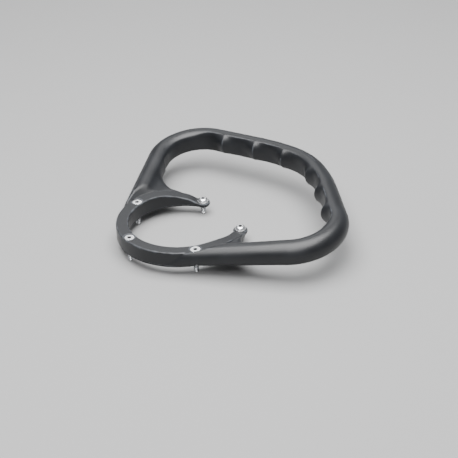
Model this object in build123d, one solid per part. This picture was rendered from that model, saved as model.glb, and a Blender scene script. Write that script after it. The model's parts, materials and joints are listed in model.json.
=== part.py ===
from build123d import *
import math
import os

# Tank-mounted passenger grab handle, in millimetres.
#
# A C-shaped moulded collar stands on the filler flange of a motorcycle's tank, held by the
# flange's own five screws. Two arms leave the collar's sides nearly tangentially, rise a
# little and carry one closed hand loop, with finger grips scalloped into its inner side.
#
# Frame: the origin is the centre of the bolt circle, on the flange's face. +Z points up out
# of the tank, +X back to the rider and the loop's apex, and +Y to the left-hand arm. The
# handle is the same on both sides of the XZ plane, so one side is built and mirrored.

# ---- bolt pattern on the tank
bolt_circle_dia = 110.0      # five flange screws, evenly spaced
bolt_count = 5
foot_bolt_angle = 36.0       # the two rear screws stand at plus and minus this angle
thread_dia = 5.0
thread_reach = 9.0           # how far each screw's thread goes into the flange
shank_dia = 4.5              # plain shank between the thread and the head

# ---- collar
collar_inner_margin = 6.2    # from the bolt circle in to the collar's bore
collar_outer_margin = 5.4    # and out to its outer wall
collar_top = 15.0            # the flat top, above the flange
collar_edge_radius = 0.7
pad_thickness = 1.2          # rubber pad between collar and flange
pad_inset = 0.6              # the pad stays this far inside the collar's edge
slope_drop = 8.0             # how far the top comes down along the straight slope
slope_run = 31.0             # length of that slope, measured flat
slope_toe_run = 5.5          # the short steep end, down to the foot
toe_blend_radius = 2.5
foot_radius = 6.7
foot_top = 3.6               # the seat of the washer, above the flange

# ---- arms and hand loop: the axis of the left-hand side, as points before rounding
arm_root_angle = 114.8       # the arms' axes start inside the collar's wall
arm_root_margin = 1.2        # this far outside the bolt circle
arm_root_height = 9.0
side_corner = Vector(81.3, 144.6, 23.8)
grip_bend = Vector(133.6, 42.0, 26.3)
apex = Vector(146.9, 0.0, 26.9)
side_corner_bend = 40.0
grip_bend_bend = 178.0
apex_bend = 76.0
root_radius = 8.4            # the arm is a cone, from this radius up to the loop's
loop_radius = 11.3
tip_length = 22.0            # behind its root the arm runs out into the collar's wall
tip_radius = 5.0
flank_gap = 0.5              # the arm's inner flank starts this far outside the collar's top
flank_lean = 8.0             # and leans outward by this much over the same height
web_bend = 31.0              # concave web behind the arm, seen from above
web_bottom = 2.5
web_top = 15.0

# ---- finger grips, measured along the loop's axis from the apex
centre_grip_half = 24.5
finger_pitch = 35.0
finger_count = 3             # on each side of the centre grip
ridge_depth = 1.2            # how far the ridges lie inside the round bar
centre_grip_depth = 4.0      # how far the hollows lie inside it
finger_depth = 5.2

# ---- screws, sleeves and washers
csk_head_dia = 9.3
csk_head_height = 2.3
csk_recess = 0.5             # the head lies this far below the collar's top
button_head_dia = 9.5
button_head_height = 2.75
socket_across_flats = 3.0
socket_depth = 1.7
sleeve_bore_clearance = 0.15
sleeve_wall = 1.4
sleeve_fit = 0.05            # radial gap between sleeve and moulding
pad_hole_clearance = 0.6
washer_dia = 10.4
washer_thickness = 0.9
washer_gap = 0.5             # flat land between a washer and the slope's toe

bolt_radius = bolt_circle_dia / 2
collar_inner_radius = bolt_radius - collar_inner_margin
collar_outer_radius = bolt_radius + collar_outer_margin
thread_radius = thread_dia / 2
shank_radius = shank_dia / 2
sleeve_inner = thread_radius + sleeve_bore_clearance
sleeve_outer = sleeve_inner + sleeve_wall
sleeve_hole = sleeve_outer + sleeve_fit
csk_top = collar_top - csk_recess
csk_bottom = csk_top - csk_head_height
foot_angles = [foot_bolt_angle, -foot_bolt_angle]
slope_span = math.degrees((slope_run + slope_toe_run + foot_radius) / bolt_radius)
front_angles = [foot_bolt_angle + 360 / bolt_count * (i + 1) for i in range(bolt_count - 2)]


def at_polar(radius, angle, height=0.0):
    """Point at a radius and an angle from +X, in degrees."""
    turn = math.radians(angle)
    return Vector(radius * math.cos(turn), radius * math.sin(turn), height)


arm_root = at_polar(bolt_radius + arm_root_margin, arm_root_angle, arm_root_height)


def across(point):
    """The same point on the right-hand side."""
    return Vector(point.X, -point.Y, point.Z)


def rod(radius, bottom, top, centre=Vector(0, 0, 0)):
    """Upright cylinder between two heights."""
    foot = Pos(centre.X, centre.Y, bottom)
    return foot * Cylinder(radius, top - bottom, align=(Align.CENTER, Align.CENTER, Align.MIN))


def frustum(start, end, start_radius, end_radius):
    """Cone between two points."""
    axis = end - start
    seat = Plane(origin=start, z_dir=axis)
    low = (Align.CENTER, Align.CENTER, Align.MIN)
    return seat * Cone(start_radius, end_radius, axis.length, align=low)


# ---------------------------------------------------------------- collar
def collar_plan(inner, outer, end_radius):
    """The C seen from above: an arc-shaped band that ends in a round foot at each rear screw."""
    band = Circle(outer) - Circle(inner)
    mouth = Polyline((0, 0), at_polar(2 * outer, -foot_bolt_angle), at_polar(2 * outer, foot_bolt_angle),
                     close=True)
    band -= make_face(mouth)
    for angle in foot_angles:
        band += Pos(at_polar(bolt_radius, angle)) * Circle(end_radius)
    return band


def slope_cutter(side):
    """What lies above the collar's top where it comes down to one foot."""
    far = 2 * collar_outer_radius
    toe_end = bolt_radius * math.sin(math.radians(slope_span / 2)) - washer_dia / 2 - washer_gap
    toe_start = toe_end - slope_toe_run
    slope_start = toe_start - slope_run
    slope_low = collar_top - slope_drop
    above = (slope_start - slope_run, collar_top + slope_drop)
    line = FilletPolyline(above, (toe_start, slope_low), (toe_end, foot_top), (far, foot_top),
                          radius=[toe_blend_radius, toe_blend_radius / 2])
    lid = Polyline(line @ 1, (far, far), (above[0], far), above)
    middle = foot_bolt_angle + slope_span / 2
    along = at_polar(1, middle - 90)
    face = Plane(origin=(0, 0, 0), x_dir=along, z_dir=at_polar(-1, middle)) * make_face([line, lid])
    block = extrude(face, amount=far, dir=at_polar(1, middle))
    return block if side > 0 else mirror(block, about=Plane.XZ)


def collar():
    """The C-shaped band, its two slopes and its two feet."""
    width = collar_outer_radius - collar_inner_radius
    height = collar_top - pad_thickness
    block = Rectangle(width, height, align=(Align.MIN, Align.MIN))
    section = fillet(block.vertices().group_by(Axis.Y)[-1], collar_edge_radius)
    profile = Plane.XZ * Pos(collar_inner_radius, pad_thickness) * section
    band = revolve(profile, Axis.Z, revolution_arc=360 - 2 * foot_bolt_angle)
    body = Rot(0, 0, foot_bolt_angle) * band
    for side in (1, -1):
        body -= slope_cutter(side)
    for angle in foot_angles:
        body += rod(foot_radius, pad_thickness, foot_top, at_polar(bolt_radius, angle))
    return body


# ---------------------------------------------------------------- arms and loop
def loop_wire():
    """Axis of both arms and the loop, from the left root to the right one."""
    left = [arm_root, side_corner, grip_bend]
    right = [across(p) for p in reversed(left)]
    bends = [side_corner_bend, grip_bend_bend, apex_bend, grip_bend_bend, side_corner_bend]
    return FilletPolyline(*left, apex, *right, radius=bends)


def grip_cutter(wire, start, end, depth):
    """Upright cylinder that scallops the loop's inner side between two places on its axis."""
    half = wire.length / 2
    ends = []
    for place in (start, end, (start + end) / 2):
        point = wire.position_at((half + place) / wire.length)
        ahead = wire.tangent_at((half + place) / wire.length)
        inward = Vector(ahead.Y, -ahead.X, 0).normalized()
        ends.append((point, inward))
    first = ends[0][0] + ends[0][1] * (loop_radius - ridge_depth)
    last = ends[1][0] + ends[1][1] * (loop_radius - ridge_depth)
    deepest = ends[2][0] + ends[2][1] * (loop_radius - depth)
    chord = Vector(last.X - first.X, last.Y - first.Y, 0)
    middle = (first + last) * 0.5
    rise = Vector(deepest.X - middle.X, deepest.Y - middle.Y, 0)
    cutter_radius = (chord.length ** 2 / 4 + rise.length ** 2) / (2 * rise.length)
    centre = Vector(deepest.X, deepest.Y, 0) - rise.normalized() * cutter_radius
    reach = 3 * loop_radius
    return rod(cutter_radius, apex.Z - reach, apex.Z + reach, centre)


def web_prism():
    """Left-hand web between collar and arm, with a concave edge to the rear."""
    along = Vector(side_corner.X - arm_root.X, side_corner.Y - arm_root.Y, 0).normalized()
    out = Vector(-along.Y, along.X, 0)
    edge_offset = arm_root.dot(out) - root_radius
    centre_offset = edge_offset - web_bend
    centre_reach = collar_outer_radius + web_bend
    centre = out * centre_offset + along * math.sqrt(centre_reach ** 2 - centre_offset ** 2)
    on_collar = centre * (collar_outer_radius / centre_reach)
    on_arm = centre + out * web_bend
    inside = on_arm + out * root_radius
    root = Vector(arm_root.X, arm_root.Y, 0)
    bay = make_face(Polyline(on_collar * 0.95, centre, on_arm, inside, root, close=True))
    bay -= Pos(centre) * Circle(web_bend)
    return extrude(Pos(0, 0, web_bottom) * bay, amount=web_top - web_bottom)


def arm():
    """Left-hand arm: a cone that runs out into the collar's wall, and its web."""
    wire = loop_wire()
    straight = wire.edges().sort_by_distance(arm_root)[0]
    end = straight @ 1 if (straight @ 0 - arm_root).length < 1 else straight @ 0
    axis = (end - arm_root).normalized()
    body = frustum(arm_root, end, root_radius, loop_radius)
    body += frustum(arm_root - axis * tip_length, arm_root, tip_radius, root_radius)
    body += web_prism()
    return body


def loop():
    """The round bar between the two arms, with its finger grips cut."""
    wire = loop_wire()
    bar_path = Wire(wire.edges()[1:-1])
    section = Plane(origin=bar_path @ 0, z_dir=bar_path % 0) * Circle(loop_radius)
    bar = sweep(section, path=bar_path)
    bar -= grip_cutter(wire, -centre_grip_half, centre_grip_half, centre_grip_depth)
    for side in (1, -1):
        for i in range(finger_count):
            start = centre_grip_half + i * finger_pitch
            bar -= grip_cutter(wire, side * start, side * (start + finger_pitch), finger_depth)
    return bar


def arm_clearance():
    """What the arms leave free: the collar's inside, its flat top and the leaning flank."""
    base = collar_outer_radius + flank_gap
    inside = rod(collar_outer_radius - 1, -collar_top, collar_top)
    flank = Pos(0, 0, collar_top) * Cone(base, base + 2 * flank_lean, 2 * flank_lean,
                                         align=(Align.CENTER, Align.CENTER, Align.MIN))
    below = rod(2 * collar_outer_radius, -collar_top, pad_thickness)
    return inside + flank + below


def handle_moulding():
    """Collar, arms and loop as the one moulding they are, bored for its five sleeves."""
    left = arm()
    reach = loop() + left + mirror(left, about=Plane.XZ)
    body = collar() + (reach - arm_clearance())
    for angle in front_angles:
        spot = at_polar(bolt_radius, angle)
        body -= rod(sleeve_hole, 0, csk_bottom, spot)
        body -= rod(csk_head_dia / 2 + sleeve_fit, csk_top, collar_top, spot)
        seat = frustum(at_polar(bolt_radius, angle, csk_bottom), at_polar(bolt_radius, angle, csk_top),
                       shank_radius + sleeve_fit, csk_head_dia / 2 + sleeve_fit)
        body -= seat
    for angle in foot_angles:
        body -= rod(sleeve_hole, 0, foot_top, at_polar(bolt_radius, angle))
    return body


# ---------------------------------------------------------------- pad, sleeves, screws
def mounting_pad():
    """C-shaped rubber pad with a clear hole at each screw."""
    plan = collar_plan(collar_inner_radius + pad_inset, collar_outer_radius - pad_inset,
                       foot_radius - pad_inset)
    for angle in front_angles + foot_angles:
        plan -= Pos(at_polar(bolt_radius, angle)) * Circle(thread_radius + pad_hole_clearance)
    return extrude(plan, amount=pad_thickness)


def sleeve(angle, top):
    """Steel tube that takes the screw's clamping load instead of the moulding."""
    spot = at_polar(bolt_radius, angle)
    return rod(sleeve_outer, pad_thickness, top, spot) - rod(sleeve_inner, 0, top, spot)


def hex_socket(angle, top):
    """The driver's socket, measured down from the head's top."""
    plan = RegularPolygon(socket_across_flats / 2, 6, major_radius=False)
    spot = at_polar(bolt_radius, angle, top - socket_depth)
    return extrude(Pos(spot) * Rot(0, 0, angle) * plan, amount=socket_depth)


def shank(angle, top):
    """Plain shank from under the head, and the thread that goes into the flange."""
    spot = at_polar(bolt_radius, angle)
    return rod(shank_radius, 0, top, spot) + rod(thread_radius, -thread_reach, 0, spot)


def countersunk_screw(angle):
    """Front screw, with a flat head sunk into the collar's top."""
    low = at_polar(bolt_radius, angle, csk_bottom)
    high = at_polar(bolt_radius, angle, csk_top)
    head = frustum(low, high, shank_radius, csk_head_dia / 2)
    return shank(angle, csk_bottom) + head - hex_socket(angle, csk_top)


def button_screw(angle):
    """Rear screw, with a domed head on its washer."""
    seat = foot_top + washer_thickness
    top = seat + button_head_height
    half = button_head_dia / 2
    flat = socket_across_flats / 2 + 0.6
    shoulder = button_head_height * 0.8
    outline = Polyline((0, top), (0, seat), (half, seat), (half, seat + 0.5))
    dome = ThreePointArc((half, seat + 0.5), ((half + flat) / 2 + 0.5, seat + shoulder), (flat, top))
    profile = Plane.XZ * make_face([outline, dome, Line((flat, top), (0, top))])
    head = Pos(at_polar(bolt_radius, angle)) * revolve(profile, Axis.Z)
    return shank(angle, seat) + head - hex_socket(angle, top)


def washer(angle):
    """Flat washer under a rear screw's head."""
    spot = at_polar(bolt_radius, angle)
    top = foot_top + washer_thickness
    return rod(washer_dia / 2, foot_top, top, spot) - rod(sleeve_inner, 0, top, spot)


# ---------------------------------------------------------------- all nodes
def build_nodes():
    """Every sub-part by its node's name."""
    nodes = {"handle_moulding": handle_moulding(), "mounting_pad": mounting_pad()}
    for i, angle in enumerate(front_angles):
        nodes[f"front_sleeve_{i + 1}"] = sleeve(angle, csk_bottom)
        nodes[f"front_screw_{i + 1}"] = countersunk_screw(angle)
    for i, angle in enumerate(foot_angles):
        nodes[f"rear_sleeve_{i + 1}"] = sleeve(angle, foot_top)
        nodes[f"rear_washer_{i + 1}"] = washer(angle)
        nodes[f"rear_screw_{i + 1}"] = button_screw(angle)
    return nodes


os.makedirs("parts", exist_ok=True)
for node, shape in build_nodes().items():
    export_step(shape, f"parts/{node}.step")
    print(node, round(shape.volume, 1), "mm3,", len(shape.solids()), "solid")
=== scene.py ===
# %% [markdown]
# A passenger grab handle that bolts on a motorcycle's filler flange: a C-shaped collar, two
# arms and a closed hand loop with finger grips. The imported CAD model is the fixed frame. It
# stays for the sleeves and the rubber pad, and every piece that the eye rests on is made new.
#
# The frame is loaded first. The finished looks have to stay inside the space that the CAD
# model holds.

# %% Load the frame
import json
import math

import bmesh
import bpy
import numpy as np
from mathutils import Matrix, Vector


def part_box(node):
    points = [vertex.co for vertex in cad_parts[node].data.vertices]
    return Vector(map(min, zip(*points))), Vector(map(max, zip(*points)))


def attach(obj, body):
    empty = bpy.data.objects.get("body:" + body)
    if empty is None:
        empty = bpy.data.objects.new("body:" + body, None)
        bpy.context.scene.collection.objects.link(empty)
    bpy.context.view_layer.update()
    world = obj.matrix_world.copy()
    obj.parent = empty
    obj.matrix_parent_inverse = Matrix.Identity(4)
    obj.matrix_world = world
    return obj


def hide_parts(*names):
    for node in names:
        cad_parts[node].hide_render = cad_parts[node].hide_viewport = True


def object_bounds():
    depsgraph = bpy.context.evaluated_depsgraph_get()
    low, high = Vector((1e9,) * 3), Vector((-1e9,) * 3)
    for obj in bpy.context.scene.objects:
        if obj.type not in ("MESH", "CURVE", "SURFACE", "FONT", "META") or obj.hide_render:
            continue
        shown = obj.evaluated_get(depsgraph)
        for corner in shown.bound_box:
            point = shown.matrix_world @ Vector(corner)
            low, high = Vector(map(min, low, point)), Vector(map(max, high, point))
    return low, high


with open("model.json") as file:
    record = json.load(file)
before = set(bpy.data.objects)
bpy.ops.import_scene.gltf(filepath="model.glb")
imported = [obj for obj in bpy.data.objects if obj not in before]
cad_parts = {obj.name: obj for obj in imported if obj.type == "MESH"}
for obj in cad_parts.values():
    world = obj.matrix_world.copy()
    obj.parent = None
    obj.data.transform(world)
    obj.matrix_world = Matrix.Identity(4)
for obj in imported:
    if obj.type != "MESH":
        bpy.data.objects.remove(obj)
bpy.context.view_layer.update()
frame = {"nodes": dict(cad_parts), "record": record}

MM = 0.001
print("CAD nodes:", len(frame["nodes"]))

# %% [markdown]
# The sizes are worked out in millimetres, as on the drawing, and turned to metres only when a
# mesh is made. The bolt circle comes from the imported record, and what the CAD nodes already
# say is measured from their boxes: the height of the collar's flat top is that of the front
# screws' heads and the small recess above them.

# %% Sizes in millimetres
mounts = {mount["name"]: mount for mount in frame["record"]["mounts"]}
BOLT_RADIUS = mounts["flange_studs"]["dims"]["pcd_mm"] / 2
BOLT_COUNT = mounts["flange_studs"]["dims"]["count"]
FOOT_ANGLE = 36.0
FRONT_ANGLES = [FOOT_ANGLE + 360 / BOLT_COUNT * (i + 1) for i in range(BOLT_COUNT - 2)]
FOOT_ANGLES = [FOOT_ANGLE, -FOOT_ANGLE]

PAD_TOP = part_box("mounting_pad")[1][2] / MM
HEAD_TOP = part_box("front_screw_1")[1][2] / MM
HEAD_RECESS = 0.5
COLLAR_TOP = HEAD_TOP + HEAD_RECESS
COLLAR_INNER = BOLT_RADIUS - 6.2
COLLAR_OUTER = BOLT_RADIUS + 5.4
COLLAR_EDGE = 0.8
FOOT_RADIUS = 6.7
FOOT_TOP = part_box("rear_sleeve_1")[1][2] / MM
print("collar top", round(COLLAR_TOP, 2), "foot top", round(FOOT_TOP, 2))

# %% [markdown]
# The arms and the loop follow one line: straight runs joined by round bends, the same on both
# sides. Each bend is an arc that touches both of its runs. One side is described, from the
# tip that runs out in the collar's wall to the apex, and the other side is its mirror image.

# %% The handle's centre line
ARM_ROOT = np.array([-23.6, 51.0, 9.0])
SIDE_CORNER = np.array([81.3, 144.6, 23.8])
GRIP_BEND = np.array([133.6, 42.0, 26.3])
APEX = np.array([146.9, 0.0, 26.9])
BENDS = [30.0, 40.0, 178.0, 76.0]
TIP_LENGTH = 22.0
TIP_DROP = 12.0


def unit(vector):
    """The vector divided by its length."""
    return vector / np.linalg.norm(vector)


def unit_rows(rows):
    """Each row divided by its length."""
    return rows / np.linalg.norm(rows, axis=1)[:, None]


def left_side(points):
    """The points, with those on the right moved to their mirror image on the left."""
    moved = points.astype(float)
    moved[:, 1] = np.abs(moved[:, 1])
    return moved


def centre_line():
    """Runs and bends of one side, from tip to apex.

    At a corner with bend radius r and half angle a between its runs, the arc starts
    r / tan(a) before the corner, and its centre lies r / sin(a) away, between the runs.
    """
    mirror = np.array([1.0, -1.0, 1.0])
    tip = ARM_ROOT - unit((SIDE_CORNER - ARM_ROOT) * [1, 1, 0]) * TIP_LENGTH - [0, 0, TIP_DROP]
    corners = [tip, ARM_ROOT, SIDE_CORNER, GRIP_BEND, APEX, GRIP_BEND * mirror]
    pieces, start = [], tip
    for before, corner, after, radius in zip(corners, corners[1:], corners[2:], BENDS):
        back, ahead = unit(before - corner), unit(after - corner)
        half = math.acos(back @ ahead) / 2
        first = corner + back * radius / math.tan(half)
        centre = corner + unit(back + ahead) * radius / math.sin(half)
        east = unit(first - centre)
        north = -back
        pieces.append(("run", start, unit(first - start), np.linalg.norm(first - start)))
        pieces.append(("bend", centre, east, north, radius, math.pi - 2 * half))
        start = corner + ahead * radius / math.tan(half)
    kind, centre, east, north, radius, sweep = pieces[-1]
    pieces[-1] = (kind, centre, east, north, radius, sweep / 2)
    return pieces


CENTRE_LINE = centre_line()
LENGTHS = [piece[3] if piece[0] == "run" else piece[4] * piece[5] for piece in CENTRE_LINE]
HALF_LENGTH = sum(LENGTHS)
print("one side of the handle is", round(HALF_LENGTH, 1), "mm long")


def nearest_on_line(points):
    """For each point: the centre line's nearest point, the line's direction there, and that
    point's distance to the apex along the line. Points are given on the left side."""
    best = np.full(len(points), np.inf)
    spot, heading = np.zeros_like(points), np.zeros_like(points)
    place = np.zeros(len(points))
    done = 0.0
    for piece, length in zip(CENTRE_LINE, LENGTHS):
        if piece[0] == "run":
            along = np.clip((points - piece[1]) @ piece[2], 0, length)
            near = piece[1] + along[:, None] * piece[2]
            ahead = np.broadcast_to(piece[2], points.shape)
        else:
            _, centre, east, north, radius, sweep = piece
            offset = points - centre
            turn = np.arctan2(offset @ north, offset @ east)
            turn = np.clip(np.where(turn < -math.pi / 2, turn + 2 * math.pi, turn), 0, sweep)
            cosine, sine = np.cos(turn)[:, None], np.sin(turn)[:, None]
            near = centre + radius * (cosine * east + sine * north)
            ahead = cosine * north - sine * east
            along = radius * turn
        distance = np.linalg.norm(points - near, axis=1)
        closer = distance < best
        best[closer] = distance[closer]
        spot[closer] = near[closer]
        heading[closer] = ahead[closer]
        place[closer] = (HALF_LENGTH - done - along)[closer]
        done += length
    return best, spot, heading, place


# %% [markdown]
# The moulding is one seamless piece of plastic: the arms grow out of the collar with webs and
# soft flanks, so no profile carried along one path can give it. It is made as a distance
# field instead. Each simple shape is a formula for how far a point lies outside it, a joint is
# the smaller of two distances and a cut is the larger, and a soft joint rounds the corner
# between them. The skin is where the distance is zero.

# %% Soft joints and cuts
def smooth_min(a, b, width):
    """The smaller of two distances, with the corner filled over about that width."""
    blend = np.maximum(width - np.abs(a - b), 0) / width
    return np.minimum(a, b) - blend * blend * width / 4


def smooth_max(a, b, width):
    """The larger of two distances, with the corner rounded over about that width."""
    return -smooth_min(-a, -b, width)


def smooth_step(low, high, value):
    """0 below low, 1 above high, and an S-curve between."""
    t = np.clip((value - low) / (high - low), 0, 1)
    return t * t * (3 - 2 * t)


def polar(radius, angle):
    """Point in plan at a radius and an angle in degrees."""
    turn = math.radians(angle)
    return np.array([radius * math.cos(turn), radius * math.sin(turn)])


# %% [markdown]
# The collar is an arc of constant width with a flat top. Towards each foot its top comes down
# in a long slope and then a short steep toe, so that a domed screw can hold the foot from
# above. The height of the top is a formula of the distance along that slope: the lowest of
# three lines, softened where they meet.

# %% The collar
SLOPE_DROP, SLOPE_RUN, TOE_RUN = 8.0, 31.0, 5.5
TOP_SOFT, TOE_SOFT, FOOT_SOFT = 2.4, 1.6, 1.2
SLOPE_COSINE = 0.97    # a height above the slope, times this, is the distance to it
WASHER_RADIUS = 5.2
LAND = 0.5
SLOPE_SPAN = math.degrees((SLOPE_RUN + TOE_RUN + FOOT_RADIUS) / BOLT_RADIUS)
SLOPE_MIDDLE = FOOT_ANGLE + SLOPE_SPAN / 2
SLOPE_AHEAD = polar(1, SLOPE_MIDDLE - 90)
TOE_END = BOLT_RADIUS * math.sin(math.radians(SLOPE_SPAN / 2)) - WASHER_RADIUS - LAND
TOE_START = TOE_END - TOE_RUN
SLOPE_START = TOE_START - SLOPE_RUN


def top_height(plan):
    """Height of the collar's top over a point in plan, on the left side."""
    ahead = plan @ SLOPE_AHEAD
    slope = COLLAR_TOP - (ahead - SLOPE_START) * SLOPE_DROP / SLOPE_RUN
    low = COLLAR_TOP - SLOPE_DROP
    toe = low - (ahead - TOE_START) * (low - FOOT_TOP) / TOE_RUN
    height = smooth_min(np.full(len(plan), COLLAR_TOP), slope, TOP_SOFT)
    height = smooth_min(height, toe, TOE_SOFT)
    return smooth_max(height, np.full(len(plan), FOOT_TOP), FOOT_SOFT)


def collar_distance(points):
    """Band between two radii, between the pad and its own top, with a round foot at its end."""
    plan = points[:, :2]
    radius = np.hypot(plan[:, 0], plan[:, 1])
    wall = np.abs(radius - (COLLAR_INNER + COLLAR_OUTER) / 2) - (COLLAR_OUTER - COLLAR_INNER) / 2
    band = smooth_max(wall, (points[:, 2] - top_height(plan)) * SLOPE_COSINE, COLLAR_EDGE * 2)
    turn = math.radians(FOOT_ANGLE)
    band = np.maximum(band, plan @ np.array([math.sin(turn), -math.cos(turn)]))
    from_bolt = np.linalg.norm(plan - polar(BOLT_RADIUS, FOOT_ANGLE), axis=1)
    foot = smooth_max(from_bolt - FOOT_RADIUS, points[:, 2] - FOOT_TOP, COLLAR_EDGE)
    return np.maximum(smooth_min(band, foot, FOOT_SOFT), PAD_TOP - points[:, 2])


# %% [markdown]
# The bar is round, and thinner at the roots of the arms. Its inner side is flattened a little,
# and where the hand closes around it, hollows for the fingers are sunk into that flat with
# ridges between them. The shape is given as the bar's radius in each direction around its own
# line, so that a ridge runs around the bar like a ring and a hollow's upper edge stays level.

# %% The bar and its finger grips
TIP_RADIUS, ROOT_RADIUS, LOOP_RADIUS = 7.2, 8.4, 11.25
GRIP_HALF, FINGER_PITCH, FINGER_COUNT = 24.5, 35.0, 3
RIDGE_SWELL = 1.2
CENTRE_DEPTH, FINGER_DEPTH, ARM_FLAT = 4.2, 5.4, 1.6
SHOULDER = 4.0
GRIP_FADE = 6.0
RIDGE_ROUND = 0.05
GRIP_END = GRIP_HALF + FINGER_PITCH * FINGER_COUNT
TIP_SPAN = LENGTHS[0] + LENGTHS[1] / 2
ARM_RUN = LENGTHS[1] / 2 + LENGTHS[2]


def bar_radius(place):
    """Radius of the bar at a distance from the apex: tip, cone of the arm, then constant."""
    from_tip = HALF_LENGTH - place
    return np.interp(from_tip, [0, TIP_SPAN, TIP_SPAN + ARM_RUN],
                     [TIP_RADIUS, ROOT_RADIUS, LOOP_RADIUS])


def ridge_share(place):
    """1 on a ridge and 0 in the middle of a hollow, by a parabola with a slightly round tip.

    With w the distance to the nearest ridge, as a part of half a hollow, it is (1 - w) squared.
    """
    finger = (place - GRIP_HALF) / FINGER_PITCH
    apart = 1 - np.abs(2 * (finger - np.floor(finger)) - 1)
    apart = np.where(place < GRIP_HALF, 1 - place / GRIP_HALF, apart)
    apart = np.where(place > GRIP_END - FINGER_PITCH / 2, 1, apart)
    return (1 - np.sqrt(apart ** 2 + RIDGE_ROUND ** 2)) ** 2


def bar_distance(points):
    """Distance to the bar, with its flattened inner side and its grips.

    A flat at depth d lies at (radius - d) / cos(angle) from the line, where the angle is
    measured from the inward direction; softly joined with the round radius, that is a hollow.
    """
    distance, spot, heading, place = nearest_on_line(points)
    offset = points - spot
    inward = unit_rows(np.stack([heading[:, 1], -heading[:, 0], 0 * place], axis=1))
    cosine = (offset * inward).sum(axis=1) / np.maximum(distance, 1e-6)
    round_bar = bar_radius(place)
    grip = 1 - smooth_step(GRIP_END - FINGER_PITCH / 2, GRIP_END + GRIP_FADE, place)
    hollow = np.where(place < GRIP_HALF, CENTRE_DEPTH, FINGER_DEPTH)
    flat_end = smooth_step(HALF_LENGTH - TIP_SPAN - ARM_RUN * 0.8, HALF_LENGTH - TIP_SPAN, place)
    depth = hollow * grip + ARM_FLAT * (1 - grip) * (1 - flat_end)
    flat = (round_bar - depth) / np.maximum(cosine, 0.2)
    valley = smooth_min(round_bar, flat, SHOULDER)
    valley = valley + (round_bar - valley) * smooth_step(0.3, 0.0, cosine)
    ridge = round_bar + RIDGE_SWELL * smooth_step(0.1, 0.9, cosine)
    share = ridge_share(place) * grip
    return distance - (valley + (ridge - valley) * share)


# %% [markdown]
# Behind each arm a web fills the corner between arm and collar, with a round concave edge
# seen from above. The arm's inner flank leans outward from the collar's top edge, so the flat
# top stays clear for the screws. Both are more distance formulas, joined softly.

# %% Web, flank and the whole moulding
WEB_BEND = 31.0
WEB_MIDDLE, WEB_HALF, WEB_THINNER = 7.5, 4.5, 2.5
WEB_FADE, WEB_ROUND, WEB_JOINT, WEB_LIMIT = 26.0, 7.0, 6.0, 70.0
FLANK_LEAN, FLANK_ROUND = 1.0, 1.6
ARM_LIFT, COLLAR_JOINT = 0.3, 0.6
ARM_AHEAD = unit((SIDE_CORNER - ARM_ROOT)[:2])
ARM_OUT = np.array([-ARM_AHEAD[1], ARM_AHEAD[0]])
WEB_OVERLAP = -0.3
WEB_OFFSET = ARM_ROOT[:2] @ ARM_OUT - ROOT_RADIUS + WEB_OVERLAP - WEB_BEND
WEB_REACH = COLLAR_OUTER + WEB_BEND
WEB_CENTRE = ARM_OUT * WEB_OFFSET + ARM_AHEAD * math.sqrt(WEB_REACH ** 2 - WEB_OFFSET ** 2)
WEB_ANGLE = math.degrees(math.atan2(WEB_CENTRE[1], WEB_CENTRE[0]))
SINK = 4.0


def web_distance(points):
    """Rounded plate between arm and collar, cut by an upright cylinder at its rear edge.

    Its middle height runs from the collar's half height to the arm's axis.
    """
    plan = points[:, :2]
    along = (plan - ARM_ROOT[:2]) @ ARM_AHEAD
    out = plan @ ARM_OUT - ARM_ROOT[:2] @ ARM_OUT
    rise = (SIDE_CORNER - ARM_ROOT)[2] / np.linalg.norm((SIDE_CORNER - ARM_ROOT)[:2])
    axis_height = ARM_ROOT[2] + rise * along
    share = smooth_step(-WEB_FADE, 0, out)
    middle = (1 - share) * WEB_MIDDLE + share * axis_height
    half_depth = (1 - share) * WEB_HALF + share * (ROOT_RADIUS - WEB_THINNER)
    plate = np.abs(points[:, 2] - middle) - half_depth
    concave = WEB_BEND - np.linalg.norm(plan - WEB_CENTRE, axis=1)
    beyond_arm = out + WEB_OVERLAP
    end_collar = plan @ polar(1, WEB_ANGLE - 90)
    end_arm = along - (WEB_CENTRE - ARM_ROOT[:2]) @ ARM_AHEAD
    side = np.maximum(np.maximum(beyond_arm, end_collar), np.maximum(end_arm, -along))
    return np.maximum(smooth_max(plate, concave, WEB_ROUND), side)


def moulding_distance(points):
    """Distance to the whole moulding. The right side is read from its mirror image."""
    points = left_side(points)
    plan = points[:, :2]
    bar = bar_distance(points)
    near_web = plan[:, 0] < WEB_LIMIT
    arm = bar.copy()
    if near_web.any():
        arm[near_web] = smooth_min(bar[near_web], web_distance(points[near_web]), WEB_JOINT)
    radius = np.hypot(plan[:, 0], plan[:, 1])
    top = top_height(plan)
    outside = radius - COLLAR_OUTER
    flank = (points[:, 2] - top - FLANK_LEAN * outside) / math.hypot(1, FLANK_LEAN)
    flank = np.where(outside < 0, np.maximum(points[:, 2] - top, flank), flank)
    arm = smooth_max(arm, flank, FLANK_ROUND)
    arm = np.maximum(arm, COLLAR_OUTER - SINK - radius)
    arm = np.maximum(arm, PAD_TOP + ARM_LIFT - points[:, 2])
    body = smooth_min(collar_distance(points), arm, COLLAR_JOINT)
    return bore_out(points, press_marks(points, body))


# %% [markdown]
# Two kinds of cut finish the moulding. A row of seven short rounded marks is pressed into the
# top of the loop: four are described, from the apex outward, and three are mirror images. Five
# bores take the screws, and the front ones end in a shallow recess around the screw's head.

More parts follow.
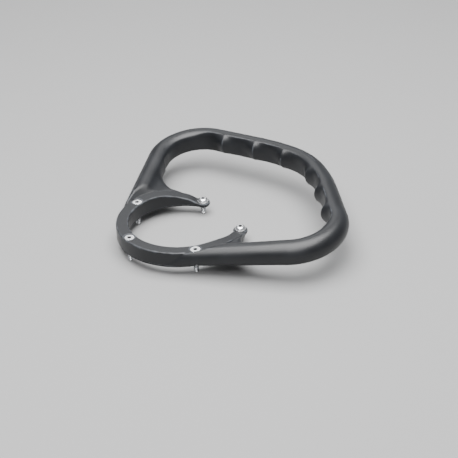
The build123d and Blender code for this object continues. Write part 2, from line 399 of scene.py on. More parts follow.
# %% Marks and bores
MARK_COUNT, MARK_PITCH = 4, 5.2
MARK_LENGTH, MARK_RADIUS, MARK_DEPTH = 1.6, 0.95, 0.65
MARK_LEAN = 1.0
MARK_ZONE, MARK_ROUND = 25.0, 0.3
BORE_RADIUS, RECESS_RADIUS, RECESS_DEPTH = 4.1, 5.1, 0.35
BORE_ZONE, BORE_ROUND = 8.0, 0.5
LEFT_ANGLES = [angle for angle in FRONT_ANGLES + FOOT_ANGLES if 0 < angle < 181]


def mark_offset(points):
    """Distance in plan to the nearest mark's middle line, across and along the loop."""
    apex_centre = APEX[0] - BENDS[-1]
    turn = np.arctan2(points[:, 1], points[:, 0] - apex_centre)
    along = BENDS[-1] * turn
    nearest = np.clip(np.round(along / MARK_PITCH), 0, MARK_COUNT - 1) * MARK_PITCH
    reach = np.maximum(np.abs(along - nearest) - MARK_LENGTH / 2, 0)
    across = np.hypot(points[:, 0] - apex_centre, points[:, 1]) - BENDS[-1]
    return np.hypot(reach, across + MARK_LEAN)


def press_marks(points, body):
    """Presses a row of short rounded marks into the top of the loop at its apex."""
    near = (points[:, 2] > APEX[2]) & (points[:, 0] > APEX[0] - MARK_ZONE)
    if not near.any():
        return body
    some = points[near]
    top = APEX[2] + LOOP_RADIUS
    mark = smooth_max(mark_offset(some) - MARK_RADIUS, top - MARK_DEPTH - some[:, 2], MARK_ROUND)
    body = body.copy()
    body[near] = smooth_max(body[near], -mark, MARK_ROUND)
    return body


def near_marks(points):
    """Whether a point lies within a millimetre of a mark."""
    high = points[:, 2] > APEX[2] + LOOP_RADIUS * 0.8
    beside = mark_offset(left_side(points)) < MARK_RADIUS + 1
    return high & (points[:, 0] > APEX[0] - MARK_ZONE) & beside


def bore_out(points, body):
    """Cuts the five bores and the three shallow recesses around the front screws' heads."""
    radius = np.hypot(points[:, 0], points[:, 1])
    near = np.abs(radius - BOLT_RADIUS) < BORE_ZONE
    if not near.any():
        return body
    some, cut = points[near], np.full(int(near.sum()), np.inf)
    for angle in LEFT_ANGLES:
        from_bolt = np.linalg.norm(some[:, :2] - polar(BOLT_RADIUS, angle), axis=1)
        bore = from_bolt - BORE_RADIUS
        if angle != FOOT_ANGLE:
            recess = np.maximum(from_bolt - RECESS_RADIUS, HEAD_TOP - RECESS_DEPTH - some[:, 2])
            bore = np.minimum(bore, recess)
        cut = np.minimum(cut, bore)
    body = body.copy()
    body[near] = smooth_max(body[near], -cut, BORE_ROUND)
    return body


# %% [markdown]
# The skin is found on a fine grid. A coarse grid first tells which cells are worth looking at,
# and only those are worked out exactly. Each grid cell that the skin crosses gets one vertex,
# at the average of the crossings on its edges, and each grid edge that is crossed gets one
# four-sided face between its four cells. The vertices are then slid along the field's slope
# until they lie exactly on the skin.

# %% From distance field to mesh
CELL = 0.92
COARSE = 4
NEAR_SHARE = 1.6
STRIDE, LEAST_SLOPE = 0.4, 0.25


def field_slope(points, step=0.02):
    """Gradient of the distance at each point, by central differences."""
    slope = np.zeros_like(points)
    for axis in range(3):
        shift = np.zeros(3)
        shift[axis] = step
        slope[:, axis] = moulding_distance(points + shift) - moulding_distance(points - shift)
    return slope / (2 * step)


def sample_field(low, counts):
    """Distances on the whole grid, exact near the skin and rough elsewhere."""
    axes = [low[i] + CELL * np.arange(counts[i]) for i in range(3)]
    coarse = [axis[::COARSE] + CELL * (COARSE - 1) / 2 for axis in axes]
    grid = np.stack(np.meshgrid(*coarse, indexing="ij"), axis=-1).reshape(-1, 3)
    rough = moulding_distance(grid).reshape([len(axis) for axis in coarse])
    for i in range(3):
        rough = np.repeat(rough, COARSE, axis=i)
    rough = rough[:counts[0], :counts[1], :counts[2]]
    near = np.argwhere(np.abs(rough) < CELL * COARSE * NEAR_SHARE)
    exact = low + CELL * near
    rough[tuple(near.T)] = moulding_distance(exact)
    return rough


def skin_mesh(low, high):
    """Vertices and four-sided faces of the skin inside a box."""
    counts = np.ceil((high - low) / CELL).astype(int) + 1
    field = sample_field(low, counts)
    inside = field < 0
    cells = np.array(inside.shape) - 1
    total = np.zeros(tuple(cells) + (3,), dtype=np.float32)
    hits = np.zeros(tuple(cells), dtype=np.float32)
    faces = []
    for axis in range(3):
        a = [slice(None)] * 3
        b = [slice(None)] * 3
        a[axis], b[axis] = slice(0, -1), slice(1, None)
        crossed = inside[tuple(a)] != inside[tuple(b)]
        edge = np.argwhere(crossed)
        start, end = field[tuple(a)][crossed], field[tuple(b)][crossed]
        point = edge.astype(np.float32)
        point[:, axis] += start / (start - end)
        outward = inside[tuple(a)][crossed]
        u, v = (axis + 1) % 3, (axis + 2) % 3
        ring = []
        for du, dv in ((0, 0), (-1, 0), (-1, -1), (0, -1)):
            cell = edge.copy()
            cell[:, u] += du
            cell[:, v] += dv
            ring.append(cell)
            np.add.at(total, tuple(cell.T), point)
            np.add.at(hits, tuple(cell.T), 1)
        quads = np.stack([np.ravel_multi_index(cell.T, tuple(cells)) for cell in ring], axis=1)
        faces.append(np.where(outward[:, None], quads, quads[:, ::-1]))
    used = np.argwhere(hits > 0)
    number = np.full(int(np.prod(cells)), -1)
    number[np.ravel_multi_index(used.T, tuple(cells))] = np.arange(len(used))
    points = low + CELL * (total[tuple(used.T)] / hits[tuple(used.T)][:, None])
    return points.astype(float), number[np.concatenate(faces)]


def settle(points, rounds=3):
    """Slides vertices along the slope until the distance is zero."""
    for _ in range(rounds):
        slope = field_slope(points)
        size = np.maximum((slope ** 2).sum(axis=1), LEAST_SLOPE)
        move = slope * (moulding_distance(points) / size)[:, None]
        length = np.linalg.norm(move, axis=1)[:, None]
        points = points - move * np.minimum(1, STRIDE * CELL / np.maximum(length, 1e-9))
    return points


def split_sharp(mesh, chosen):
    """Splits the faces between chosen vertices in four; their neighbours gain the corners."""
    ends = np.empty(2 * len(mesh.edges), dtype=np.int32)
    mesh.edges.foreach_get("vertices", ends)
    picked = np.flatnonzero(chosen[ends.reshape(-1, 2)].all(axis=1))
    draft = bmesh.new()
    draft.from_mesh(mesh)
    draft.edges.ensure_lookup_table()
    edges = [draft.edges[i] for i in picked]
    bmesh.ops.subdivide_edges(draft, edges=edges, cuts=1, use_grid_fill=True)
    draft.to_mesh(mesh)
    draft.free()
    mesh.update()


def mesh_points(mesh):
    """The mesh's vertices as rows."""
    flat = np.empty(3 * len(mesh.vertices), dtype=np.float32)
    mesh.vertices.foreach_get("co", flat)
    return flat.reshape(-1, 3).astype(float)


def make_mesh(name, points, faces):
    """Mesh from rows of points and a list of faces."""
    mesh = bpy.data.meshes.new(name)
    mesh.from_pydata(points.tolist(), [], faces)
    mesh.update()
    return mesh


def make_piece(name, mesh, material, node):
    """Object with that mesh that rides on the one body and stands for a CAD node."""
    mesh.polygons.foreach_set("use_smooth", np.ones(len(mesh.polygons), dtype=bool))
    mesh.materials.append(material)
    piece = bpy.data.objects.new(name, mesh)
    bpy.context.scene.collection.objects.link(piece)
    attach(piece, "root")
    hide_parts(node)
    return piece


def store(mesh, label, values):
    """Keeps one value per vertex on the mesh, for its material."""
    layer = mesh.attributes.new(label, "FLOAT", "POINT")
    layer.data.foreach_set("value", values.astype(np.float32))


# %% [markdown]
# Four effects are node groups built once. The grain is fine noise turned into a height, with
# slow mottling beside it, and every finish uses it. The edge mask brightens where the skin
# turns sharply outward, partly as rubbed wear and partly as a painted edge highlight; how
# sharply is measured on the mesh itself and stored as a value per vertex, called turn. Streaks
# run around the collar's top, and turning rings run around the heads of the screws.

# %% Shared node groups
def new_group(name, inputs, outputs):
    """Empty shader node group with its sockets, and its input and output nodes."""
    group = bpy.data.node_groups.new(name, "ShaderNodeTree")
    for label, value in inputs:
        socket = group.interface.new_socket(label, in_out="INPUT", socket_type="NodeSocketFloat")
        socket.default_value = value
    for label in outputs:
        group.interface.new_socket(label, in_out="OUTPUT", socket_type="NodeSocketFloat")
    return group, group.nodes.new("NodeGroupInput"), group.nodes.new("NodeGroupOutput")


def grain_group():
    """Height of fine grain, and slow mottling, both from Object coordinates."""
    group, given, out = new_group("fine_grain", [("Scale", 1500.0), ("Mottle Scale", 60.0)],
                                  ["Height", "Mottle"])
    nodes, links = group.nodes, group.links
    place = nodes.new("ShaderNodeTexCoord")
    fine = nodes.new("ShaderNodeTexNoise")
    fine.inputs["Detail"].default_value = 3.0
    fine.inputs["Roughness"].default_value = 0.65
    cells = nodes.new("ShaderNodeTexVoronoi")
    cells.feature = "SMOOTH_F1"
    slow = nodes.new("ShaderNodeTexNoise")
    slow.inputs["Detail"].default_value = 4.0
    both = nodes.new("ShaderNodeMath")
    both.operation = "MULTIPLY_ADD"
    both.inputs[1].default_value = 0.6
    for texture in (fine, cells, slow):
        links.new(place.outputs["Object"], texture.inputs["Vector"])
    links.new(given.outputs["Scale"], fine.inputs["Scale"])
    links.new(given.outputs["Scale"], cells.inputs["Scale"])
    links.new(given.outputs["Mottle Scale"], slow.inputs["Scale"])
    links.new(cells.outputs["Distance"], both.inputs[0])
    links.new(fine.outputs["Fac"], both.inputs[2])
    links.new(both.outputs[0], out.inputs["Height"])
    links.new(slow.outputs["Fac"], out.inputs["Mottle"])
    return group


def wear_and_highlight_group():
    """Mask that is 1 on sharp outward turns, broken up by noise so that no edge is even. It
    serves both as rubbed wear and as a painted edge highlight.
    """
    group, given, out = new_group("edge_wear_and_highlight", [("Start", 0.5), ("Full", 1.0)], ["Wear"])
    nodes, links = group.nodes, group.links
    turn = nodes.new("ShaderNodeAttribute")
    turn.attribute_name = "turn"
    place = nodes.new("ShaderNodeTexCoord")
    patches = nodes.new("ShaderNodeTexNoise")
    patches.inputs["Scale"].default_value = 180.0
    patches.inputs["Detail"].default_value = 5.0
    broken = nodes.new("ShaderNodeMath")
    broken.operation = "MULTIPLY"
    ramp = nodes.new("ShaderNodeMapRange")
    ramp.interpolation_type = "SMOOTHSTEP"
    links.new(place.outputs["Object"], patches.inputs["Vector"])
    links.new(turn.outputs["Fac"], broken.inputs[0])
    links.new(patches.outputs["Fac"], broken.inputs[1])
    links.new(broken.outputs[0], ramp.inputs["Value"])
    links.new(given.outputs["Start"], ramp.inputs["From Min"])
    links.new(given.outputs["Full"], ramp.inputs["From Max"])
    links.new(ramp.outputs["Result"], out.inputs["Wear"])
    return group


def streak_group():
    """Mask of short fine streaks that run around the collar: noise that is read at radius
    times one scale and at angle times a much smaller one."""
    group, given, out = new_group("ring_streaks", [("Across", 2200.0), ("Along", 26.0)], ["Streak"])
    nodes, links = group.nodes, group.links
    place = nodes.new("ShaderNodeTexCoord")
    parts = nodes.new("ShaderNodeSeparateXYZ")
    links.new(place.outputs["Object"], parts.inputs["Vector"])
    flat = nodes.new("ShaderNodeCombineXYZ")
    links.new(parts.outputs["X"], flat.inputs["X"])
    links.new(parts.outputs["Y"], flat.inputs["Y"])
    radius = nodes.new("ShaderNodeVectorMath")
    radius.operation = "LENGTH"
    links.new(flat.outputs["Vector"], radius.inputs[0])
    angle = nodes.new("ShaderNodeMath")
    angle.operation = "ARCTAN2"
    links.new(parts.outputs["Y"], angle.inputs[0])
    links.new(parts.outputs["X"], angle.inputs[1])
    across = nodes.new("ShaderNodeMath")
    across.operation = "MULTIPLY"
    links.new(radius.outputs["Value"], across.inputs[0])
    links.new(given.outputs["Across"], across.inputs[1])
    along = nodes.new("ShaderNodeMath")
    along.operation = "MULTIPLY"
    links.new(angle.outputs[0], along.inputs[0])
    links.new(given.outputs["Along"], along.inputs[1])
    polar_place = nodes.new("ShaderNodeCombineXYZ")
    links.new(across.outputs[0], polar_place.inputs["X"])
    links.new(along.outputs[0], polar_place.inputs["Y"])
    noise = nodes.new("ShaderNodeTexNoise")
    noise.inputs["Scale"].default_value = 1.0
    noise.inputs["Detail"].default_value = 4.0
    noise.inputs["Roughness"].default_value = 0.7
    links.new(polar_place.outputs["Vector"], noise.inputs["Vector"])
    ramp = nodes.new("ShaderNodeMapRange")
    ramp.inputs["From Min"].default_value = 0.35
    ramp.inputs["From Max"].default_value = 0.65
    links.new(noise.outputs["Fac"], ramp.inputs["Value"])
    links.new(ramp.outputs["Result"], out.inputs["Streak"])
    return group


def ring_group():
    """Height of fine turning rings, from the distance to the part's own axis, which is kept
    on the mesh as a value called ring."""
    group, given, out = new_group("turning_rings", [("Scale", 30.0)], ["Height"])
    nodes, links = group.nodes, group.links
    ring = nodes.new("ShaderNodeAttribute")
    ring.attribute_name = "ring"
    noise = nodes.new("ShaderNodeTexNoise")
    noise.noise_dimensions = "1D"
    noise.inputs["Detail"].default_value = 3.0
    links.new(ring.outputs["Fac"], noise.inputs["W"])
    links.new(given.outputs["Scale"], noise.inputs["Scale"])
    links.new(noise.outputs["Fac"], out.inputs["Height"])
    return group


GRAIN = grain_group()
EDGE_WEAR_AND_HIGHLIGHT = wear_and_highlight_group()
STREAKS = streak_group()
RINGS = ring_group()
print("node groups:", len(bpy.data.node_groups))


# %% [markdown]
# The moulding is black plastic with a fine, even grain, half matt, so highlights are broad and
# soft. The collar's flat top is more matt, with short fine streaks, and the sharp edges are
# painted a little lighter, partly as rubbed wear and partly as a painted highlight. The screws
# are bright plated steel with painted shade in their sockets, the washers and sleeves plain
# steel, and the pad is black rubber.

# %% Finishes
def new_material(name, colour, roughness, metallic=0.0):
    """Material with its Principled BSDF, and its tree."""
    material = bpy.data.materials.new(name)
    material.use_nodes = True
    shader = material.node_tree.nodes["Principled BSDF"]
    shader.inputs["Base Color"].default_value = (*colour, 1)
    shader.inputs["Roughness"].default_value = roughness
    shader.inputs["Metallic"].default_value = metallic
    return material, shader, material.node_tree


def add_group(tree, group, **values):
    """Group node placed in a material, with its values."""
    node = tree.nodes.new("ShaderNodeGroup")
    node.node_tree = group
    for label, value in values.items():
        node.inputs[label.replace("_", " ")].default_value = value
    return node


def mix_colour(tree, low, high, factor):
    """Colour mix driven by a socket. low and high are a colour or a socket."""
    node = tree.nodes.new("ShaderNodeMix")
    node.data_type = "RGBA"
    for slot, value in (("A", low), ("B", high)):
        socket = [s for s in node.inputs if s.name == slot and s.type == "RGBA"][0]
        if isinstance(value, tuple):
            socket.default_value = (*value, 1)
        else:
            tree.links.new(value, socket)
    tree.links.new(factor, node.inputs["Factor"])
    return [s for s in node.outputs if s.type == "RGBA"][0]


def map_range(tree, source, low, high, to_low, to_high):
    """Value carried from one range to another."""
    node = tree.nodes.new("ShaderNodeMapRange")
    node.inputs["From Min"].default_value = low
    node.inputs["From Max"].default_value = high
    node.inputs["To Min"].default_value = to_low
    node.inputs["To Max"].default_value = to_high
    tree.links.new(source, node.inputs["Value"])
    return node.outputs["Result"]


def mix_value(tree, low, high, factor):
    """Value mix of two sockets, driven by a third."""
    node = tree.nodes.new("ShaderNodeMix")
    for label, source in (("Factor", factor), ("A", low), ("B", high)):
        socket = [s for s in node.inputs if s.name == label and s.type == "VALUE"][0]
        tree.links.new(source, socket)
    return [s for s in node.outputs if s.type == "VALUE"][0]


def attribute(tree, label):
    """Socket of a value that is kept on the mesh."""
    node = tree.nodes.new("ShaderNodeAttribute")
    node.attribute_name = label
    return node.outputs["Fac"]


def add_bump(tree, shader, height, strength, distance):
    """Bump from a height socket into the shader's normal."""
    bump = tree.nodes.new("ShaderNodeBump")
    bump.inputs["Strength"].default_value = strength
    bump.inputs["Distance"].default_value = distance
    tree.links.new(height, bump.inputs["Height"])
    tree.links.new(bump.outputs["Normal"], shader.inputs["Normal"])


PLASTIC = (0.0038, 0.0043, 0.0054)
PLASTIC_LIGHT = (0.0065, 0.0073, 0.009)
# Lighter colour for sharp edges: partly rubbed wear, partly a painted edge highlight.
PLASTIC_EDGE_WEAR_AND_HIGHLIGHT = (0.055, 0.06, 0.068)
DECK = (0.006, 0.0066, 0.0078)
# The last colour here is painted shade for the inside of the screws' sockets.
ZINC, ZINC_DULL, SOCKET_PAINTED_SHADE = (0.86, 0.87, 0.88), (0.66, 0.67, 0.69), (0.045, 0.045, 0.05)
STEEL, STEEL_STAINED = (0.62, 0.62, 0.63), (0.42, 0.42, 0.43)
RUBBER, RUBBER_BLOOM = (0.016, 0.016, 0.017), (0.034, 0.034, 0.035)


def grained_plastic():
    """Black moulded plastic with fine grain, slow mottling, and edges painted lighter as rubbed
    wear and a painted highlight; the collar's flat top is more matt, and streaked instead of
    grained."""
    material, shader, tree = new_material("grained_plastic", PLASTIC, 0.42)
    shader.inputs["Specular IOR Level"].default_value = 0.42
    grain = add_group(tree, GRAIN, Scale=1500.0, Mottle_Scale=45.0)
    streaks = add_group(tree, STREAKS)
    # Mask for sharp outward edges, which are painted lighter as rubbed wear and painted highlight.
    wear_and_highlight = add_group(tree, EDGE_WEAR_AND_HIGHLIGHT, Start=0.16, Full=0.55)
    deck = attribute(tree, "deck")
    mottle = map_range(tree, grain.outputs["Mottle"], 0.35, 0.65, 0, 1)
    base = mix_colour(tree, PLASTIC, PLASTIC_LIGHT, mottle)
    top = mix_colour(tree, PLASTIC_LIGHT, DECK, streaks.outputs["Streak"])
    base = mix_colour(tree, base, top, deck)
    # Sharp edges get a lighter colour: partly rubbed wear, partly a painted edge highlight.
    worn_and_highlit = mix_colour(tree, base, PLASTIC_EDGE_WEAR_AND_HIGHLIGHT, wear_and_highlight.outputs["Wear"])
    tree.links.new(worn_and_highlit, shader.inputs["Base Color"])
    satin = map_range(tree, grain.outputs["Mottle"], 0.3, 0.7, 0.36, 0.46)
    matt = map_range(tree, streaks.outputs["Streak"], 0, 1, 0.6, 0.72)
    tree.links.new(mix_value(tree, satin, matt, deck), shader.inputs["Roughness"])
    height = mix_value(tree, grain.outputs["Height"], streaks.outputs["Streak"], deck)
    add_bump(tree, shader, height, 0.35, 0.00012)
    return material


def bright_zinc():
    """Bright plated steel with fine turning rings, painted shade inside the socket and faint
    blotches where the plating has dulled."""
    material, shader, tree = new_material("bright_zinc", ZINC, 0.2, 1.0)
    grain = add_group(tree, GRAIN, Scale=2600.0, Mottle_Scale=500.0)
    rings = add_group(tree, RINGS, Scale=28.0)
    socket = attribute(tree, "socket")
    dull = mix_colour(tree, ZINC, ZINC_DULL, map_range(tree, grain.outputs["Mottle"], 0.4, 0.7, 0, 1))
    # Inside the socket the colour is painted dark: painted shade in the recess.
    socket_shade = mix_colour(tree, dull, SOCKET_PAINTED_SHADE, socket)
    tree.links.new(socket_shade, shader.inputs["Base Color"])
    rough = map_range(tree, grain.outputs["Mottle"], 0.3, 0.7, 0.16, 0.3)
    tree.links.new(mix_value(tree, rough, map_range(tree, socket, 0, 1, 0.4, 0.5), socket),
                   shader.inputs["Roughness"])
    add_bump(tree, shader, rings.outputs["Height"], 0.25, 0.00003)
    return material


def brushed_steel():
    """Plain steel with fine grain and light grey stains."""
    material, shader, tree = new_material("brushed_steel", STEEL, 0.34, 1.0)
    grain = add_group(tree, GRAIN, Scale=3200.0, Mottle_Scale=380.0)
    blotches = map_range(tree, grain.outputs["Mottle"], 0.45, 0.75, 0, 1)
    stain = mix_colour(tree, STEEL, STEEL_STAINED, blotches)
    tree.links.new(stain, shader.inputs["Base Color"])
    rough = map_range(tree, grain.outputs["Mottle"], 0.3, 0.7, 0.26, 0.42)
    tree.links.new(rough, shader.inputs["Roughness"])
    add_bump(tree, shader, grain.outputs["Height"], 0.2, 0.00004)
    return material


def pad_rubber():
    """Black rubber, matt, with a soft leathery grain and a paler bloom in patches."""
    material, shader, tree = new_material("pad_rubber", RUBBER, 0.8)
    grain = add_group(tree, GRAIN, Scale=900.0, Mottle_Scale=70.0)
    patches = map_range(tree, grain.outputs["Mottle"], 0.45, 0.75, 0, 1)
    bloom = mix_colour(tree, RUBBER, RUBBER_BLOOM, patches)
    tree.links.new(bloom, shader.inputs["Base Color"])
    rough = map_range(tree, grain.outputs["Mottle"], 0.3, 0.7, 0.72, 0.88)
    tree.links.new(rough, shader.inputs["Roughness"])
    add_bump(tree, shader, grain.outputs["Height"], 0.5, 0.00025)
    return material


plastic = grained_plastic()
zinc = bright_zinc()
steel = brushed_steel()
rubber = pad_rubber()
print("finishes:", [finish.name for finish in (plastic, zinc, steel, rubber)])

# %% [markdown]
# The moulding's mesh is split finer where the skin turns sharply: the collar's edges, the
# ridges between the fingers, the screws' recesses and the small marks on top of the loop. The
# shading normals come straight from the field's slope, so they are smooth at any mesh size.

# %% Build the moulding
def skin_turn(points, reach=0.7):
    """How sharply the skin turns outward: the field's second differences, per millimetre."""
    centre = moulding_distance(points)
    total = np.zeros(len(points))
    for axis in range(3):
        shift = np.zeros(3)
        shift[axis] = reach
        total += moulding_distance(points + shift) + moulding_distance(points - shift) - 2 * centre
    return total / reach ** 2


def deck_share(points, normals):
    """1 on the collar's flat top and its two slopes, 0 elsewhere."""
    radius = np.hypot(points[:, 0], points[:, 1])
    mirrored = np.stack([points[:, 0], np.abs(points[:, 1])], axis=1)
    near_top = 1 - smooth_step(0.2, 0.6, np.abs(points[:, 2] - top_height(mirrored)))
    within = 1 - smooth_step(0.0, 0.6, radius - COLLAR_OUTER)
    return near_top * within * smooth_step(0.8, 0.95, normals[:, 2])


SHARP_TURN = 0.3
low_corner = np.array([-COLLAR_OUTER - 3, -135.0, PAD_TOP - 2])
high_corner = np.array([160.0, 135.0, 42.0])
skin, quads = skin_mesh(low_corner, high_corner)
skin = settle(skin)
mesh = make_mesh("moulding_skin", skin, quads.tolist())
print("first skin:", len(skin), "vertices,", 2 * len(quads), "triangles")
split_sharp(mesh, (np.abs(skin_turn(skin)) > SHARP_TURN) | near_marks(skin))
split_sharp(mesh, near_marks(mesh_points(mesh)))
skin = settle(mesh_points(mesh))
normals = unit_rows(field_slope(skin))
mesh.vertices.foreach_set("co", (skin * MM).ravel())
store(mesh, "turn", skin_turn(skin))
store(mesh, "deck", deck_share(skin, normals))
make_piece("moulding_skin", mesh, plastic, "handle_moulding")
mesh.normals_split_custom_set_from_vertices(normals.tolist())
mesh.calc_loop_triangles()
print("moulding:", len(skin), "vertices,", len(mesh.loop_triangles), "triangles")

# %% [markdown]
# Screws and washers are turned parts: a profile is carried round an upright axis, and row by
# row its radius can be bent into a hexagon, for the driver's socket, or raised along a helix,
# for the thread. Each profile is a list of radius and height from the bottom pole to the top
# pole, and a straight stretch of it is cut finer where it carries the thread.

# %% Turned parts
COLUMNS = 48
THREAD_RADIUS, THREAD_PITCH, THREAD_DEPTH, THREAD_REACH = 2.48, 0.8, 0.44, 9.0
GROOVE_STEEP, GROOVE_CREST = 1.35, 0.18
SHANK_RADIUS = 2.25
SOCKET_HALF, SOCKET_DEPTH = 1.5, 1.7
CSK_RADIUS, CSK_DEPTH = 4.65, 2.3
BUTTON_RADIUS, BUTTON_HEIGHT = 4.75, 2.75
WASHER_THICKNESS, WASHER_INNER = 0.9, 2.7


def arc(centre, radius, start, end, steps):
    """Points of a profile on an arc, by angle in degrees, as rows of radius and height."""
    turn = np.radians(np.linspace(start, end, steps))
    return np.stack([centre[0] + radius * np.cos(turn), centre[1] + radius * np.sin(turn)], axis=1)


def turned_skin(profile, spin, hexed, threaded=None):
    """Skin of a turned part between two poles.

    x = r cos(a), y = r sin(a), z = the profile's height. In a hexed row r is the apothem over
    cos(a') with a' the angle from the nearest flat's middle. In a threaded row r loses the
    thread's depth times a saw of height / pitch - a / turn.
    """
    angle = 2 * math.pi * np.arange(COLUMNS) / COLUMNS
    radius = np.repeat(profile[1:-1, :1], COLUMNS, axis=1)
    height = np.repeat(profile[1:-1, 1:], COLUMNS, axis=1)
    from_flat = np.mod(angle, math.pi / 3) - math.pi / 6
    radius = np.where(hexed[1:-1, None], radius / np.cos(from_flat), radius)
    if threaded is not None:
        along = np.mod(height / THREAD_PITCH - angle / (2 * math.pi), 1)
        groove = np.clip(GROOVE_STEEP * np.abs(2 * along - 1) - GROOVE_CREST, 0, 1)
        radius = radius - THREAD_DEPTH * groove * threaded[1:-1, None]
    turn = angle + spin
    rows = np.stack([radius * np.cos(turn), radius * np.sin(turn), height], axis=-1).reshape(-1, 3)
    poles = np.array([[0, 0, profile[0, 1]], [0, 0, profile[-1, 1]]])
    count = len(profile) - 2
    start = np.arange((count - 1) * COLUMNS).reshape(-1, COLUMNS)
    after = np.roll(start, -1, axis=1)
    quads = np.stack([start, after, after + COLUMNS, start + COLUMNS], axis=-1).reshape(-1, 4)
    first = np.arange(COLUMNS)
    last = first + (count - 1) * COLUMNS
    bottom, top = count * COLUMNS, count * COLUMNS + 1
    low_fan = np.stack([np.full(COLUMNS, bottom), np.roll(first, -1), first], axis=1)
    high_fan = np.stack([last, np.roll(last, -1), np.full(COLUMNS, top)], axis=1)
    return np.concatenate([rows, poles]), quads.tolist() + low_fan.tolist() + high_fan.tolist()


def threaded_shank(top):
    """Profile from the thread's tip up to the plain shank's top, and its threaded share."""
    tip = np.array([[0, -THREAD_REACH], [THREAD_RADIUS - 0.75, -THREAD_REACH],
                    [THREAD_RADIUS - 0.5, -THREAD_REACH + 0.12]])
    steps = int(THREAD_REACH / THREAD_PITCH * 8)
    height = np.linspace(-THREAD_REACH + 0.5, -0.05, steps)
    thread = np.stack([np.full(steps, THREAD_RADIUS), height], axis=1)
    share = 1 - smooth_step(-1.2, -0.1, height)
    thread[:, 0] -= (THREAD_RADIUS - SHANK_RADIUS) * smooth_step(-1.0, -0.05, height)
    plain = np.array([[SHANK_RADIUS, 0.1], [SHANK_RADIUS, top - 0.3]])
    profile = np.concatenate([tip, thread, plain])
    return profile, np.concatenate([np.zeros(3), share, np.zeros(2)])


def socket_profile(top):
    """Profile of the driver's socket from its chamfered mouth to the middle of its floor."""
    mouth = SOCKET_HALF + 0.22
    rows = [[mouth + 0.02, top], [mouth - 0.02, top - 0.04], [SOCKET_HALF + 0.02, top - 0.24],
            [SOCKET_HALF, top - 0.3], [SOCKET_HALF, top - SOCKET_DEPTH + 0.06],
            [SOCKET_HALF - 0.06, top - SOCKET_DEPTH], [0.7, top - SOCKET_DEPTH - 0.08],
            [0.0, top - SOCKET_DEPTH - 0.3]]
    return np.array(rows)


def screw_mesh(name, head, seat, top, angle):
    """Screw at an angle on the bolt circle: shank, then the head's own profile, then socket."""
    shank, threaded = threaded_shank(seat)
    socket = socket_profile(top)
    profile = np.concatenate([shank, head, socket])
    hexed = np.arange(len(profile)) >= len(profile) - len(socket)
    share = np.concatenate([threaded, np.zeros(len(head) + len(socket))])
    points, faces = turned_skin(profile, math.radians(angle), hexed, share)
    ring = np.hypot(points[:, 0], points[:, 1])
    inside = np.concatenate([np.repeat(hexed[1:-1], COLUMNS), [False, True]]).astype(float)
    points[:, :2] += polar(BOLT_RADIUS, angle)
    mesh = make_mesh(name, points * MM, faces)
    store(mesh, "ring", ring)
    store(mesh, "socket", inside)
    return mesh


def countersunk_head(seat, top):
    """Cone from the shank to the head's rim, a narrow land, a rounded edge and the flat top."""
    edge = 0.22
    land = np.array([[SHANK_RADIUS + 0.05, seat], [CSK_RADIUS - 0.03, top - 0.45],
                     [CSK_RADIUS, top - 0.4]])
    rim = arc((CSK_RADIUS - edge, top - edge), edge, 0, 90, 6)
    flat = np.array([[CSK_RADIUS - 1.2, top], [SOCKET_HALF + 0.5, top]])
    return np.concatenate([land, rim, flat])


def button_head(seat, top):
    """Flat underside, low straight rim, and a dome that is an arc from the rim to the flat."""
    edge = 0.15
    rim_height = 0.45
    flat_radius = SOCKET_HALF + 0.62
    rise = top - seat - rim_height
    run = BUTTON_RADIUS - flat_radius
    radius = (rise ** 2 + run ** 2) / (2 * rise)
    start = math.degrees(math.asin(min(1, (radius - rise) / radius)))
    under = np.array([[SHANK_RADIUS + 0.1, seat], [BUTTON_RADIUS - edge - 0.3, seat]])
    low = arc((BUTTON_RADIUS - edge, seat + edge), edge, -90, 0, 4)
    dome = arc((flat_radius, top - radius), radius, start, 90, 14)
    flat = np.array([[SOCKET_HALF + 0.4, top]])
    return np.concatenate([under, low, dome, flat])


def washer_mesh(name, seat, angle):
    """Flat ring with four rounded edges: a closed profile carried round an upright axis."""
    edge, outer = 0.18, WASHER_RADIUS - 0.02
    low, high = seat + edge, seat + WASHER_THICKNESS - edge
    inner = WASHER_INNER + edge
    profile = np.concatenate([
        arc((outer - edge, low), edge, -90, 0, 5), arc((outer - edge, high), edge, 0, 90, 5),
        [[(outer + inner) / 2, high + edge]], arc((inner, high), edge, 90, 180, 5),
        arc((inner, low), edge, 180, 270, 5), [[(outer + inner) / 2, seat]]])
    turn = 2 * math.pi * np.arange(COLUMNS) / COLUMNS
    plan = profile[:, 0, None, None] * np.stack([np.cos(turn), np.sin(turn)], axis=-1)
    height = np.repeat(profile[:, 1, None, None], COLUMNS, axis=1)
    points = np.concatenate([plan, height], axis=-1)
    start = np.arange(points.shape[0] * COLUMNS).reshape(-1, COLUMNS)
    after, above = np.roll(start, -1, axis=1), np.roll(start, -1, axis=0)
    faces = np.stack([start, after, np.roll(above, -1, axis=1), above], axis=-1).reshape(-1, 4)
    points = points.reshape(-1, 3)
    ring = np.hypot(points[:, 0], points[:, 1])
    points[:, :2] += polar(BOLT_RADIUS, angle)
    mesh = make_mesh(name, points * MM, faces.tolist())
    store(mesh, "ring", ring)
    store(mesh, "socket", np.zeros(len(points)))
    return mesh


# %% [markdown]
# The three countersunk screws sit just below the collar's flat top. The two domed screws
# stand on the feet, each on a washer. Every one is placed by its angle on the bolt circle.

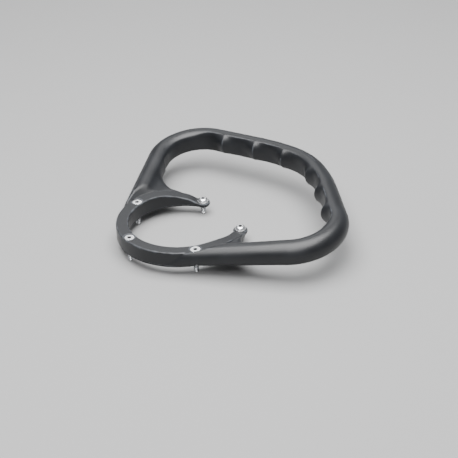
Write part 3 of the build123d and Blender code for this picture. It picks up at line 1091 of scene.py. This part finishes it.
# %% Screws and washers
for i, angle in enumerate(FRONT_ANGLES):
    seat = HEAD_TOP - CSK_DEPTH
    head = countersunk_head(seat, HEAD_TOP)
    mesh = screw_mesh(f"countersunk_screw_{i + 1}", head, seat, HEAD_TOP, angle)
    make_piece(mesh.name, mesh, zinc, f"front_screw_{i + 1}")
for i, angle in enumerate(FOOT_ANGLES):
    seat = FOOT_TOP + WASHER_THICKNESS
    top = seat + BUTTON_HEIGHT
    mesh = screw_mesh(f"domed_screw_{i + 1}", button_head(seat, top), seat, top, angle)
    make_piece(mesh.name, mesh, zinc, f"rear_screw_{i + 1}")
    mesh = washer_mesh(f"round_washer_{i + 1}", FOOT_TOP, angle)
    make_piece(mesh.name, mesh, steel, f"rear_washer_{i + 1}")
print("screws:", len(FRONT_ANGLES) + len(FOOT_ANGLES), "washers:", len(FOOT_ANGLES))

# %% [markdown]
# The sleeves and the pad keep their CAD shape and only get their finish.

# %% Finish for the CAD nodes that stay
for name, node in frame["nodes"].items():
    if "sleeve" in name or name == "mounting_pad":
        node.data.materials.clear()
        node.data.materials.append(rubber if name == "mounting_pad" else steel)
        print("CAD node kept:", name)

# %% [markdown]
# The camera looks down on the handle from the front right, with a long lens. Its place is
# worked out from three angles and a distance, so the view stays easy to change.

# %% Camera
AZIMUTH, ELEVATION, ROLL = math.radians(-32.54), math.radians(31.10), math.radians(-1.845)
forward = np.array([-math.sin(AZIMUTH) * math.cos(ELEVATION),
                    math.cos(AZIMUTH) * math.cos(ELEVATION), -math.sin(ELEVATION)])
level = np.array([math.cos(AZIMUTH), math.sin(AZIMUTH), 0.0])
upright = np.cross(level, forward)
right = math.cos(ROLL) * level + math.sin(ROLL) * upright
up = math.cos(ROLL) * upright - math.sin(ROLL) * level
SHIFT_RIGHT, SHIFT_UP, DISTANCE = 44.27, 3.25, 1121.17
eye = (SHIFT_RIGHT * right + SHIFT_UP * up - DISTANCE * forward) * MM
lens = bpy.data.cameras.new("camera")
lens.sensor_width = 36.0
lens.lens = 94.3
camera = bpy.data.objects.new("camera", lens)
bpy.context.scene.collection.objects.link(camera)
turned = Matrix((right, up, -forward)).transposed().to_4x4()
turned.translation = eye
camera.matrix_world = turned
bpy.context.scene.camera = camera
print("camera at", np.round(eye, 3))

# %% [markdown]
# The handle is shown on a plain pale floor, just below the threads' tips. A large soft light
# overhead gives the long highlights along the bar, a smaller one models the near side, and a
# third from behind is there for the flat screw heads.

# %% Floor and light
FLOOR_GAP = 0.0003
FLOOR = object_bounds()[0][2] - FLOOR_GAP
SIDE = 4.0
corners = np.array([[-SIDE, -SIDE], [SIDE, -SIDE], [SIDE, SIDE], [-SIDE, SIDE]])
floor_mesh = bpy.data.meshes.new("floor")
floor_mesh.from_pydata([(x, y, FLOOR) for x, y in corners], [], [(0, 1, 2, 3)])
floor = bpy.data.objects.new("floor", floor_mesh)
bpy.context.scene.collection.objects.link(floor)
floor_paint, shader, tree = new_material("floor_paint", (0.23, 0.23, 0.23), 0.9)
floor_mesh.materials.append(floor_paint)


def soft_light(name, place, target, size, power):
    """Square area light at a place, aimed at a target, both in metres."""
    data = bpy.data.lights.new(name, "AREA")
    data.size = size
    data.energy = power
    lamp = bpy.data.objects.new(name, data)
    bpy.context.scene.collection.objects.link(lamp)
    back = unit(np.array(place, dtype=float) - np.array(target, dtype=float))
    side = unit(np.cross((0, 0, 1), back))
    turned = Matrix((side, np.cross(back, side), back)).transposed().to_4x4()
    turned.translation = place
    lamp.matrix_world = turned


soft_light("top", (0.0, -0.05, 1.3), (0.04, 0, 0), 1.4, 84)
soft_light("side", (-0.56, -0.62, 1.0), (0.04, 0, 0), 0.45, 9)
soft_light("glint", (0.56, 0.86, 0.63), (0.0, 0, 0.015), 0.4, 1.2)
world = bpy.data.worlds.new("studio")
bpy.context.scene.world = world
world.use_nodes = True
sky = world.node_tree.nodes["Background"]
sky.inputs["Color"].default_value = (0.95, 0.97, 1.0, 1)
sky.inputs["Strength"].default_value = 0.4
print("lights:", len(bpy.data.lights))
